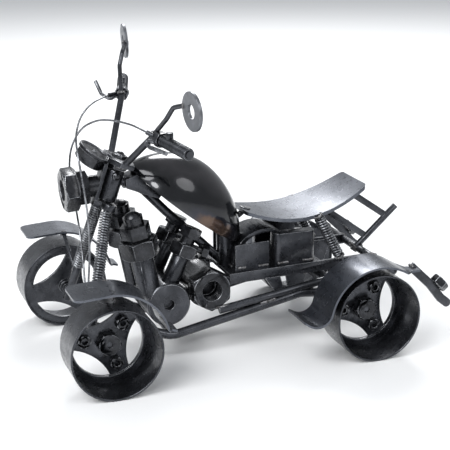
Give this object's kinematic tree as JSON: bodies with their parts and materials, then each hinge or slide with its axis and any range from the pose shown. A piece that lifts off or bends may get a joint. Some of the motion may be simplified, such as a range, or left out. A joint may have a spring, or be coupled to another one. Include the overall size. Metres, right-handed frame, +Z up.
{
  "type": "quad bike ornament",
  "caption": "Welded scrap-metal quad bike ornament built from nuts, washers, springs and bent bar, with turning wheels and a steering head.",
  "frame": {"origin": "on the ground, under the middle of the bounding box", "axes": "+Z up, -Y to the front of the bike, +X to its left side"},
  "size_m": [0.1498, 0.1979, 0.154],
  "materials": {
    "gunmetal_steel": "blackened and clear-lacquered steel, semi-gloss",
    "nut_steel": "dark oiled nuts, turned faces",
    "fender_sheet": "blue-grey lacquered sheet, semi-gloss",
    "tank_shell": "polished dark shell, glossy, heat tint at the rim",
    "spring_wire": "bright drawn wire",
    "washer_steel": "dull zinc grey"
  },
  "bodies": {
    "frame": {"head_tube": "gunmetal_steel", "frame_bolts": "nut_steel", "backbone": "gunmetal_steel", "tank": "tank_shell", "seat": "fender_sheet", "lower_tubes": "gunmetal_steel", "side_rods": "gunmetal_steel", "chassis_rails": "gunmetal_steel", "chassis_plates": "gunmetal_steel", "cross_bars": "gunmetal_steel", "side_boxes": "gunmetal_steel", "seat_arch": "gunmetal_steel", "crankcase": "gunmetal_steel", "gearbox": "nut_steel", "cylinder_barrels": "gunmetal_steel", "cylinder_head_nuts": "nut_steel", "cylinder_caps": "nut_steel", "rear_axle": "gunmetal_steel", "rear_hub_nuts": "nut_steel", "rear_fender_left": "fender_sheet", "rear_fender_right": "fender_sheet", "rear_rack": "gunmetal_steel", "shock_springs": "spring_wire", "shock_rods": "gunmetal_steel", "tail_brackets": "gunmetal_steel", "tail_lights": "nut_steel"},
    "steering": {"steering_stem": "gunmetal_steel", "steering_nuts": "nut_steel", "top_yoke": "gunmetal_steel", "lower_yoke": "gunmetal_steel", "fork_legs": "gunmetal_steel", "fork_springs": "spring_wire", "front_axles": "gunmetal_steel", "front_hub_nuts": "nut_steel", "front_fender_left": "fender_sheet", "front_fender_right": "fender_sheet", "headlight": "nut_steel", "backing_nuts": "nut_steel", "dial": "nut_steel", "handlebars": "gunmetal_steel", "grips": "gunmetal_steel", "control_clamps": "gunmetal_steel", "levers": "spring_wire", "mirrors": "washer_steel", "cable_stops": "gunmetal_steel", "brake_cable_left": "spring_wire", "brake_cable_right": "spring_wire"},
    "wheel_front_left": {"wheel_hoop_front_left": "gunmetal_steel", "spoke_disc_front_left": "gunmetal_steel", "lug_nuts_front_left": "nut_steel"},
    "wheel_front_right": {"wheel_hoop_front_right": "gunmetal_steel", "spoke_disc_front_right": "gunmetal_steel", "lug_nuts_front_right": "nut_steel"},
    "wheel_rear_left": {"wheel_hoop_rear_left": "gunmetal_steel", "spoke_disc_rear_left": "gunmetal_steel", "lug_nuts_rear_left": "nut_steel"},
    "wheel_rear_right": {"wheel_hoop_rear_right": "gunmetal_steel", "spoke_disc_rear_right": "gunmetal_steel", "lug_nuts_rear_right": "nut_steel"}
  },
  "joints": [
    {"name": "steering_turn", "type": "hinge", "parent": "frame", "child": "steering", "pos_m": [0, -0.0597, 0.0897], "axis": [0, 0.3156, 0.9489], "range_deg": [-12, 12]},
    {"name": "wheel_spin_front_left", "type": "hinge", "parent": "steering", "child": "wheel_front_left", "pos_m": [0.043, -0.07695, 0.022], "axis": [1, 0, 0], "continuous": true},
    {"name": "wheel_spin_front_right", "type": "hinge", "parent": "steering", "child": "wheel_front_right", "pos_m": [-0.043, -0.07695, 0.022], "axis": [1, 0, 0], "continuous": true},
    {"name": "wheel_spin_rear_left", "type": "hinge", "parent": "frame", "child": "wheel_rear_left", "pos_m": [0.043, 0.05455, 0.022], "axis": [1, 0, 0], "continuous": true},
    {"name": "wheel_spin_rear_right", "type": "hinge", "parent": "frame", "child": "wheel_rear_right", "pos_m": [-0.043, 0.05455, 0.022], "axis": [1, 0, 0], "continuous": true}
  ]
}
